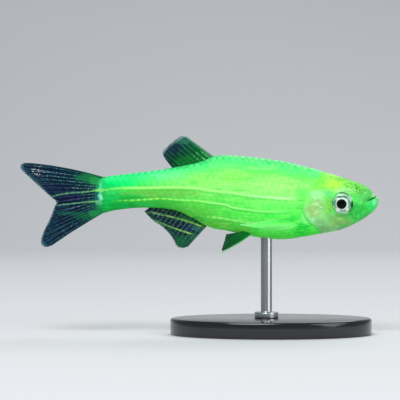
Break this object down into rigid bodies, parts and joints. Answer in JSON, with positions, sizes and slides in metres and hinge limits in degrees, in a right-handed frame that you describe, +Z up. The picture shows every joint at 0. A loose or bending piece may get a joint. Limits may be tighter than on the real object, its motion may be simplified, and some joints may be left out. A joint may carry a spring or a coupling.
{
  "type": "zebra danio model",
  "caption": "Life-size zebra danio in a green fluorescent colour form, fins spread as if swimming, held over a flat oval base by a thin rod.",
  "frame": {"origin": "on the floor under the middle of the fish's whole length, which is the middle of the part's bounding box in plan", "axes": "+X the way the fish faces, +Y the fish's left side, +Z up"},
  "size_m": [0.048, 0.018, 0.0266],
  "materials": {
    "body_skin": "wet, glossy scaled skin, fluorescent green with paler yellow-green lines along the flank",
    "gill_cover": "glossy pale green bony plate with a pearly sheen",
    "eye": "clear glossy eyeball, silver-mint iris round a black pupil",
    "fin_dark": "thin satin fin membrane, dark navy to dark green, with yellow-green lines",
    "fin_pale": "thin satin fin membrane, pale green",
    "barbel": "smooth green skin",
    "stand_base": "polished black acrylic",
    "stand_rod": "satin steel"
  },
  "bodies": {
    "root": {"head": "body_skin", "lower_jaw": "body_skin", "trunk_front": "body_skin", "trunk_rear": "body_skin", "tail_stalk": "body_skin", "gill_cover_right": "gill_cover", "gill_cover_left": "gill_cover", "eye_right": "eye", "eye_left": "eye", "dorsal_fin": "fin_dark", "anal_fin": "fin_dark", "tail_fin_upper": "fin_dark", "tail_fin_lower": "fin_dark", "pelvic_fin_right": "fin_dark", "pelvic_fin_left": "fin_dark", "pectoral_fin_right": "fin_pale", "pectoral_fin_left": "fin_pale", "barbel_snout_right": "barbel", "barbel_snout_left": "barbel", "barbel_jaw_right": "barbel", "barbel_jaw_left": "barbel", "stand_base": "stand_base", "stand_rod": "stand_rod"}
  },
  "joints": []
}
